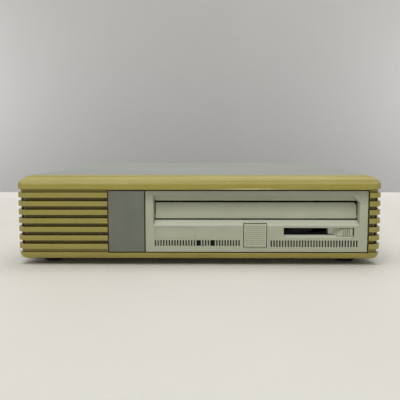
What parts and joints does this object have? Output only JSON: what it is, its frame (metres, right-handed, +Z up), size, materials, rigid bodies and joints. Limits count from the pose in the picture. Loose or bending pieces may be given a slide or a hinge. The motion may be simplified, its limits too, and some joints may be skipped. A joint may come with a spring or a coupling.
{
  "type": "removable cartridge disk drive",
  "caption": "Low beige desktop case with ribbed front corners holding a half-height removable cartridge disk drive with a drop-down door, locking lever and stop button.",
  "frame": {"origin": "on the table plane, under the middle of the case", "axes": "+X to the viewer's right across the front, +Y from the front to the rear connectors, +Z up"},
  "size_m": [0.244, 0.256, 0.06],
  "materials": {
    "case_plastic": "yellowed moulded plastic",
    "badge_plastic": "grey moulded plastic",
    "cover_paint": "fine textured paint",
    "pan_steel": "zinc plated sheet",
    "bezel_plastic": "light grey moulded plastic",
    "door_plastic": "light grey moulded plastic",
    "lens_plastic": "smoked clear plastic",
    "lamp_plastic": "tinted clear plastic",
    "foot_rubber": "matt rubber",
    "screw_steel": "nickel plated",
    "cast_metal": "die cast",
    "steel": "plated",
    "black_plastic": "black moulded plastic",
    "white_plastic": "natural moulded plastic",
    "board": "glass fibre board with lacquer",
    "core_iron": "laminated core",
    "copper": "enamelled copper",
    "gold_contact": "plated contacts",
    "capacitor_sleeve": "shrunk sleeve",
    "heatsink": "extruded",
    "fuse_glass": "clear",
    "wire_sleeve": "flexible sleeve",
    "ribbon_sleeve": "flat grey ribbon"
  },
  "bodies": {
    "case": {"front_moulding": "case_plastic", "badge_panel": "badge_plastic", "top_cover": "cover_paint", "chassis_pan": "pan_steel", "rear_panel": "pan_steel", "rubber_feet": "foot_rubber", "case_screws": "screw_steel", "drive_bezel": "bezel_plastic", "button_spring": "steel", "indicator_lenses": "lens_plastic", "lamp_board": "board", "front_lamps": "lamp_plastic", "drive_casting": "cast_metal", "cartridge_guides": "black_plastic", "drive_top_plate": "steel", "magnet_yoke": "core_iron", "drive_board": "board", "board_parts": "black_plastic", "board_connectors": "black_plastic", "drive_brackets": "pan_steel", "supply_board": "board", "supply_transformer": "core_iron", "supply_capacitors": "capacitor_sleeve", "supply_heatsinks": "heatsink", "supply_choke": "copper", "supply_fuse": "fuse_glass", "supply_connectors": "white_plastic", "power_wires": "wire_sleeve", "power_inlet": "black_plastic", "inlet_pins": "screw_steel", "switch_body": "black_plastic", "fan_frame": "black_plastic", "fan_guard": "screw_steel", "id_switch": "black_plastic", "port_shells": "screw_steel", "port_bodies": "white_plastic", "port_contacts": "gold_contact", "port_ribbon": "ribbon_sleeve"},
    "door": {"cartridge_door": "door_plastic"},
    "button": {"stop_button": "bezel_plastic"},
    "lever_set": {"lever": "door_plastic", "lever_slide": "steel"},
    "motor": {"motor_plate": "steel", "spindle_motor": "steel"},
    "hub": {"spindle_hub": "cast_metal"},
    "arm": {"head_arm": "cast_metal"},
    "rocker": {"switch_rocker": "black_plastic"},
    "fan": {"fan_rotor": "black_plastic"},
    "dial": {"id_dial": "white_plastic"},
    "bail_ul": {"bail_upper_left": "screw_steel"},
    "bail_ur": {"bail_upper_right": "screw_steel"},
    "bail_ll": {"bail_lower_left": "screw_steel"},
    "bail_lr": {"bail_lower_right": "screw_steel"}
  },
  "joints": [
    {"name": "door_hinge", "type": "hinge", "parent": "case", "child": "door", "pos_m": [0.0384, -0.12175, 0.0324], "axis": [1, 0, 0], "range_deg": [0, 85]},
    {"name": "button_press", "type": "slide", "parent": "case", "child": "button", "axis": [0, 1, 0], "range_m": [0, 0.0015], "stiffness_N_per_m": 300, "deforming": ["button_spring"]},
    {"name": "lever_shift", "type": "slide", "parent": "case", "child": "lever_set", "axis": [-1, 0, 0], "range_m": [0, 0.029]},
    {"name": "motor_lift", "type": "slide", "parent": "case", "child": "motor", "axis": [0, 0, 1], "range_m": [0, 0.003]},
    {"name": "hub_spin", "type": "hinge", "parent": "motor", "child": "hub", "pos_m": [0.0384, -0.052, 0.02], "axis": [0, 0, 1], "continuous": true},
    {"name": "arm_swing", "type": "hinge", "parent": "case", "child": "arm", "pos_m": [0.062, 0.038, 0.036], "axis": [0, 0, 1], "range_deg": [0, 38]},
    {"name": "rocker_tilt", "type": "hinge", "parent": "case", "child": "rocker", "pos_m": [-0.048, 0.117, 0.034], "axis": [1, 0, 0], "range_deg": [0, 16]},
    {"name": "fan_spin", "type": "hinge", "parent": "case", "child": "fan", "pos_m": [-0.018, 0.112, 0.032], "axis": [0, 1, 0], "continuous": true},
    {"name": "dial_turn", "type": "hinge", "parent": "case", "child": "dial", "pos_m": [0.008, 0.118, 0.032], "axis": [0, 1, 0], "continuous": true},
    {"name": "bail_ul_swing", "type": "hinge", "parent": "case", "child": "bail_ul", "pos_m": [0.02, 0.12025, 0.0435], "axis": [0, 0, 1], "range_deg": [-100, 0]},
    {"name": "bail_ll_swing", "type": "hinge", "parent": "case", "child": "bail_ll", "pos_m": [0.02, 0.12025, 0.0205], "axis": [0, 0, 1], "range_deg": [-100, 0]},
    {"name": "bail_ur_swing", "type": "hinge", "parent": "case", "child": "bail_ur", "pos_m": [0.104, 0.12025, 0.0435], "axis": [0, 0, 1], "range_deg": [0, 100]},
    {"name": "bail_lr_swing", "type": "hinge", "parent": "case", "child": "bail_lr", "pos_m": [0.104, 0.12025, 0.0205], "axis": [0, 0, 1], "range_deg": [0, 100]}
  ],
  "couplings": [
    {"joint": "motor_lift", "follows": "lever_shift", "ratio": 0.1034}
  ]
}
